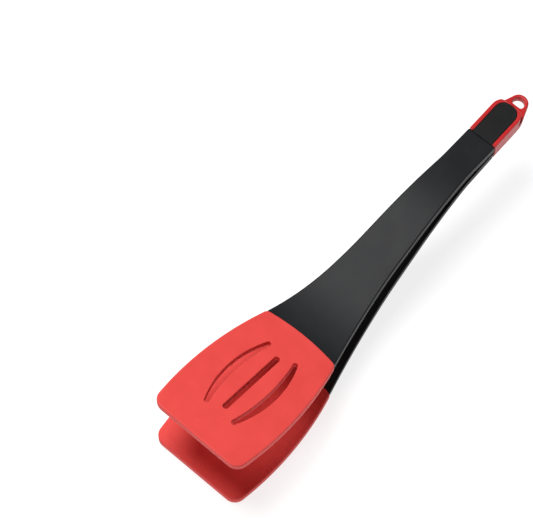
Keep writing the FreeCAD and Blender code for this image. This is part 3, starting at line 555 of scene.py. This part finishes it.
def make_arm(side, word):
    """The shell and the inner cover of one arm."""
    rear, mouth = head_rear(side), MOUTH + MOUTH_GAP
    outer, inner = SURFACE[side, "outer"], SURFACE[side, "inner"]
    liner = SURFACE[side, "liner"]
    front = rear + 1.5
    shift = mouth_shift(mouth, mouth + 9.0)
    seam, seat_step, round_run = 0.18, 0.3, 0.9
    sections = []
    for x in stations(mouth, front):
        soft = min(1.0, (x - mouth) / round_run)
        pull = MOUTH_RIM * (1 - math.sqrt(max(0.0, 1 - (1 - soft) ** 2)))
        seated = liner(x) + side * seam
        # between the cap and the liner the shell itself forms the inner face
        blend = min(1.0, max(0.0, (x - SEAT_START + seat_step) / seat_step))
        floor = inner(x) * (1 - blend) + seated * blend
        sections.append(band_section(x, arm_half(x, rear) - pull, floor + side * pull,
                                     outer(x) - side * pull, SEAM_RIM, ARM_RIM, shift))
    shell = loft(word + "_arm_shell", sections)
    sections = []
    for x in stations(SEAT_START, front):
        sections.append(band_section(x, arm_half(x, rear) + 0.05, inner(x), liner(x) - side * 0.1,
                                     LINER_RIM, LINER_SEAM_RIM))
    cover = loft(word + "_arm_liner", sections)
    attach(shell, word)
    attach(cover, word)
    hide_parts(word + "_arm")
    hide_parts(word + "_liner")
    return shell, cover


def make_head(side, word, slotted):
    """One silicone head, with rounded lips and a raised field on its inner face."""
    outer, inner = SURFACE[side, "head"], SURFACE[side, "inner"]
    top, bottom = (outer, inner) if side > 0 else (inner, outer)
    cuts = [head_rear(side) - HEAD_BULGE + 1.5 * i for i in range(1, 14)]
    cuts += [cuts[-1] + 5.0 * i for i in range(1, 18)]
    piece = plate(word + "_silicone_head", head_loop(side), slot_loops() if slotted else [], top, bottom,
                  lambda x: HEAD_RIM, cuts=cuts, rows=3,
                  panel=(FIELD_INSET, FIELD_HEIGHT, 1 if side < 0 else -1), hole_round=SLOT_RIM)
    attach(piece, word)
    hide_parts(word + "_head")
    return piece


# ------------------------------------------------------------ end cap
def cap_top(x):
    """Upper side profile of the cap: flat, then a rounded fall to the loop."""
    rear, start = -(CAP_REACH + RIM), SLOPE_LEAD - CAP_REACH
    if x >= start:
        return HALF_CAP
    t = min(1.0, (start - x) / (start - rear))
    fall = HALF_CAP - LOOP_TOP
    bulge = 4 * t * (1 - t) * SLOPE_BULGE * math.hypot(fall, start - rear) / (start - rear)
    return HALF_CAP - fall * t + bulge


def cap_low(x):
    """Lower side profile: flat, then a slight rise to the loop."""
    rear, start = -(CAP_REACH + RIM), SLOPE_LEAD - CAP_REACH
    return -HALF_CAP + (LOOP_LOW + HALF_CAP) * min(1.0, max(0.0, (start - x) / (start - rear)))


def loop_rounding(x):
    """The loop's edges are well rounded at its end and sharper inside the cap."""
    share = min(1.0, max(0.0, (-CAP_REACH - 1.5 - x) / 5.0))
    return 0.25 + 1.2 * share * share * (3 - 2 * share)


def scooped(x, y, z):
    """Hollows the front edge of the cheeks."""
    share = min(1.0, max(0.0, (x - MOUTH + 5.0) / 5.0))
    return x - share * SCOOP * (1 - (z / HALF_CAP) ** 2), y, z


def make_cap():
    """The red frame with its hanging loop, and the two black covers."""
    cuts = [SLOPE_LEAD - CAP_REACH - 0.3 * i for i in range(0, 15)] + [MOUTH - i for i in range(1, 6)]
    body = plate("cap_frame", cap_loop(), [], cap_top, cap_low, lambda x: CAP_RIM, cuts=cuts, rows=10,
                 bend=scooped, flat=0.25)
    outer, hole = loop_outlines()
    ring = plate("cap_hanging_loop", outer, [hole], lambda x: LOOP_TOP, lambda x: LOOP_LOW, loop_rounding,
                 rows=2, hole_round=HOLE_RIM, flat=0.05)
    for piece in (body, ring):
        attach(piece, "cap")
        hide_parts("end_frame")
    plan = recess_loop(INNER_HALF - COVER_GAP, -CAP_REACH + COVER_GAP, MOUTH, CAP_CORNER - COVER_GAP)
    high = HALF_CAP - COVER_SINK
    low = high - COVER_THICK
    cuts = [MOUTH - i for i in range(1, 6)]
    upper = plate("cap_cover_top", plan, [], lambda x: high, lambda x: low, lambda x: COVER_RIM,
                  cuts=cuts, rows=2, bend=scooped)
    under = plate("cap_cover_bottom", plan, screw_holes(), lambda x: -low, lambda x: -high,
                  lambda x: COVER_RIM, cuts=cuts, rows=2, bend=scooped)
    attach(upper, "cap")
    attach(under, "cap")
    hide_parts("top_cover")
    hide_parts("bottom_cover")
    return body, ring, upper, under


def screw_holes():
    """Counterbores of the two cover screws."""
    angles = [2 * math.pi * i / 28 for i in range(28)]
    return [[(-SCREW_BACK + SCREW_BORE * math.cos(a), s * SCREW_SIDE + SCREW_BORE * math.sin(a))
             for a in angles] for s in (1, -1)]


# ------------------------------------------------------------ materials
def node(tree, kind, **values):
    """A new node of this kind with these settings."""
    made = tree.nodes.new(kind)
    for key, value in values.items():
        setattr(made, key, value)
    return made


def surface(name, base, light, roughness, rough_span, grain, grain_depth, mottle, rim_wear_and_highlight_amount=0.0,
            metallic=0.0, speck=None, brushed=False, gloss=0.5):
    """A procedural finish: mottled colour, fine grain in the bump, uneven roughness, rims painted lighter as
    a painted highlight, partly wear.

    base and light are the two ends of the colour; grain and mottle are how fine the bump and the
    colour's patches are; grain_depth is in metres; speck is the colour of fine dust spots.
    """
    material = bpy.data.materials.new(name)
    material.use_nodes = True
    tree = material.node_tree
    shader = tree.nodes["Principled BSDF"]
    shader.inputs["Metallic"].default_value = metallic
    shader.inputs["Specular IOR Level"].default_value = gloss
    place = node(tree, "ShaderNodeTexCoord").outputs["Object"]
    if brushed:
        mapping = node(tree, "ShaderNodeMapping")
        mapping.inputs["Scale"].default_value = (0.04, 1.0, 1.0)
        tree.links.new(place, mapping.inputs["Vector"])
        place = mapping.outputs["Vector"]
    broad = node(tree, "ShaderNodeTexNoise")
    broad.inputs["Scale"].default_value = mottle
    broad.inputs["Detail"].default_value = 4.0
    fine = node(tree, "ShaderNodeTexNoise")
    fine.inputs["Scale"].default_value = grain
    fine.inputs["Detail"].default_value = 3.0
    tree.links.new(place, broad.inputs["Vector"])
    tree.links.new(place, fine.inputs["Vector"])
    ramp = node(tree, "ShaderNodeValToRGB")
    ramp.color_ramp.elements[0].position = 0.35
    ramp.color_ramp.elements[0].color = (*base, 1)
    ramp.color_ramp.elements[1].position = 0.65
    ramp.color_ramp.elements[1].color = (*light, 1)
    tree.links.new(broad.outputs["Fac"], ramp.inputs["Fac"])
    colour = ramp.outputs["Color"]
    if speck:
        dots = node(tree, "ShaderNodeTexVoronoi")
        dots.inputs["Scale"].default_value = 420.0
        tree.links.new(place, dots.inputs["Vector"])
        pick = node(tree, "ShaderNodeMath", operation="LESS_THAN")
        pick.inputs[1].default_value = 0.045
        tree.links.new(dots.outputs["Distance"], pick.inputs[0])
        weak = node(tree, "ShaderNodeMath", operation="MULTIPLY")
        weak.inputs[1].default_value = 0.35
        tree.links.new(pick.outputs[0], weak.inputs[0])
        blend = node(tree, "ShaderNodeMix", data_type="RGBA")
        tree.links.new(weak.outputs[0], blend.inputs[0])
        tree.links.new(colour, blend.inputs[6])
        blend.inputs[7].default_value = (*speck, 1)
        colour = blend.outputs[2]
    # painted highlight, partly wear: the rims' edge value mixes in a lighter colour, broken up by the mottle
    if rim_wear_and_highlight_amount:
        rim_wear_and_highlight = node(tree, "ShaderNodeAttribute", attribute_name="edge")
        breakup = node(tree, "ShaderNodeMath", operation="MULTIPLY")
        tree.links.new(rim_wear_and_highlight.outputs["Fac"], breakup.inputs[0])
        tree.links.new(broad.outputs["Fac"], breakup.inputs[1])
        amount = node(tree, "ShaderNodeMath", operation="MULTIPLY")
        amount.inputs[1].default_value = rim_wear_and_highlight_amount
        tree.links.new(breakup.outputs[0], amount.inputs[0])
        blend = node(tree, "ShaderNodeMix", data_type="RGBA")
        tree.links.new(amount.outputs[0], blend.inputs[0])
        tree.links.new(colour, blend.inputs[6])
        lighter = [min(1.0, 0.35 + 0.65 * c) if max(light) > 0.2 else c * 3 + 0.03 for c in light]
        blend.inputs[7].default_value = (*lighter, 1)
        colour = blend.outputs[2]
    tree.links.new(colour, shader.inputs["Base Color"])
    uneven = node(tree, "ShaderNodeMapRange")
    uneven.inputs["To Min"].default_value = roughness - rough_span
    uneven.inputs["To Max"].default_value = roughness + rough_span
    tree.links.new(broad.outputs["Fac"], uneven.inputs["Value"])
    tree.links.new(uneven.outputs["Result"], shader.inputs["Roughness"])
    bump = node(tree, "ShaderNodeBump")
    bump.inputs["Strength"].default_value = 0.5
    bump.inputs["Distance"].default_value = grain_depth
    tree.links.new(fine.outputs["Fac"], bump.inputs["Height"])
    tree.links.new(bump.outputs["Normal"], shader.inputs["Normal"])
    return material


silicone = surface("silicone_red", (0.74, 0.060, 0.052), (0.79, 0.068, 0.059), 0.58, 0.05,
                   grain=2600, grain_depth=0.00005, mottle=60, rim_wear_and_highlight_amount=0.06, speck=(0.80, 0.20, 0.17),
                   gloss=0.22)
red = surface("cap_red", (0.50, 0.012, 0.014), (0.56, 0.018, 0.019), 0.36, 0.05,
              grain=3200, grain_depth=0.00003, mottle=90, rim_wear_and_highlight_amount=0.10, gloss=0.24)
nylon = surface("nylon_black", (0.0070, 0.0076, 0.0088), (0.0100, 0.0107, 0.0122), 0.50, 0.05,
                grain=3400, grain_depth=0.00012, mottle=70, rim_wear_and_highlight_amount=0.10, gloss=0.20)
inner_black = surface("nylon_inner", (0.011, 0.0115, 0.013), (0.015, 0.0155, 0.017), 0.50, 0.05,
                      grain=3000, grain_depth=0.00008, mottle=80, rim_wear_and_highlight_amount=0.15, gloss=0.25)
cover_black = surface("cover_black", (0.0050, 0.0053, 0.0058), (0.0065, 0.0068, 0.0074), 0.44, 0.05,
                      grain=3600, grain_depth=0.00006, mottle=90, rim_wear_and_highlight_amount=0.1, gloss=0.18)
steel = surface("steel", (0.50, 0.50, 0.49), (0.62, 0.62, 0.61), 0.30, 0.08,
                grain=1800, grain_depth=0.00002, mottle=150, metallic=1.0, brushed=True)
bronze = surface("bronze", (0.45, 0.30, 0.13), (0.55, 0.38, 0.18), 0.36, 0.08,
                 grain=1800, grain_depth=0.00002, mottle=150, metallic=1.0)
natural = surface("washer_natural", (0.66, 0.64, 0.58), (0.74, 0.72, 0.66), 0.45, 0.05,
                  grain=2400, grain_depth=0.00003, mottle=120)


def dress(piece, material):
    """Gives a piece its material."""
    piece.data.materials.clear()
    piece.data.materials.append(material)


upper_shell, upper_cover = make_arm(1, "upper")
lower_shell, lower_cover = make_arm(-1, "lower")
upper_head = make_head(1, "upper", True)
lower_head = make_head(-1, "lower", False)
cap_body, cap_ring, cap_upper, cap_under = make_cap()
for piece in (upper_shell, lower_shell):
    dress(piece, nylon)
for piece in (upper_cover, lower_cover):
    dress(piece, inner_black)
for piece in (upper_head, lower_head):
    dress(piece, silicone)
for piece in (cap_body, cap_ring):
    dress(piece, red)
for piece in (cap_upper, cap_under):
    dress(piece, cover_black)

finishes = {"cover_screws": steel, "hinge_pin": steel, "torsion_spring": steel, "upper_core": steel,
            "lower_core": steel, "left_bush": bronze, "right_bush": bronze, "left_washer": natural,
            "right_washer": natural, "spring_sleeve": natural}
for name, material in finishes.items():
    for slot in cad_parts[name].material_slots:
        slot.material = material

# ------------------------------------------------------------ stage
WORLD_LIGHT, FLOOR_GLOW, FLOOR_WHITE, FLOOR_HALF = 0.17, 0.80, 0.34, 4
floor_mesh = bpy.data.meshes.new("floor")
floor_mesh.from_pydata([(x * FLOOR_HALF, y * FLOOR_HALF, 0) for x, y in ((-1, -1), (1, -1), (1, 1), (-1, 1))],
                       [], [(0, 1, 2, 3)])
floor = bpy.data.objects.new("floor", floor_mesh)
bpy.context.scene.collection.objects.link(floor)
paper = bpy.data.materials.new("paper")
paper.use_nodes = True
tree = paper.node_tree
tree.nodes.remove(tree.nodes["Principled BSDF"])
glow = node(tree, "ShaderNodeEmission")
glow.inputs["Color"].default_value = (1, 1, 1, 1)
glow.inputs["Strength"].default_value = FLOOR_GLOW
soft = node(tree, "ShaderNodeBsdfDiffuse")
soft.inputs["Color"].default_value = (FLOOR_WHITE, FLOOR_WHITE, FLOOR_WHITE, 1)
both = node(tree, "ShaderNodeAddShader")
tree.links.new(glow.outputs[0], both.inputs[0])
tree.links.new(soft.outputs[0], both.inputs[1])
tree.links.new(both.outputs[0], tree.nodes["Material Output"].inputs["Surface"])
floor_mesh.materials.append(paper)

world = bpy.data.worlds.new("studio")
world.use_nodes = True
world.node_tree.nodes["Background"].inputs["Color"].default_value = (1, 1, 1, 1)
world.node_tree.nodes["Background"].inputs["Strength"].default_value = WORLD_LIGHT
bpy.context.scene.world = world
bpy.context.scene.view_settings.view_transform = "Standard"


def lamp(name, place, aim, size, power):
    """A round soft lamp at a place, turned to its aim; size in metres, power in watts."""
    light = bpy.data.lights.new(name, "AREA")
    light.shape = "DISK"
    light.size = size
    light.energy = power
    lit = bpy.data.objects.new(name, light)
    lit.location = place
    lit.rotation_euler = (Vector(aim) - Vector(place)).to_track_quat("-Z", "Y").to_euler()
    bpy.context.scene.collection.objects.link(lit)


middle = (Vector(cad_box[0]) + Vector(cad_box[1])) / 2
lamp("key", middle + Vector((0.22, -0.45, 1.60)), middle, size=0.8, power=28)
lamp("fill", middle + Vector((0.5, 1.3, 0.5)), middle, size=1.0, power=0.8)

# ------------------------------------------------------------ camera
CAMERA_PLACE = Vector((0.6874, 0.3577, 1.4927))
CAMERA_LOOK, CAMERA_UP = Vector((-0.3969, -0.2511, -0.8829)), Vector((-0.6473, -0.6054, 0.4632))
SENSOR_WIDTH, LENS = 36.0, 163.3171
camera_data = bpy.data.cameras.new("camera")
camera_data.sensor_width = SENSOR_WIDTH
camera_data.lens = LENS
camera_data.clip_end = 20.0
camera = bpy.data.objects.new("camera", camera_data)
bpy.context.scene.collection.objects.link(camera)
look = CAMERA_LOOK.normalized()
right = look.cross(CAMERA_UP).normalized()
up = right.cross(look)
turn = Matrix((right, up, -look)).transposed()
camera.matrix_world = Matrix.Translation(CAMERA_PLACE) @ turn.to_4x4()
bpy.context.scene.camera = camera
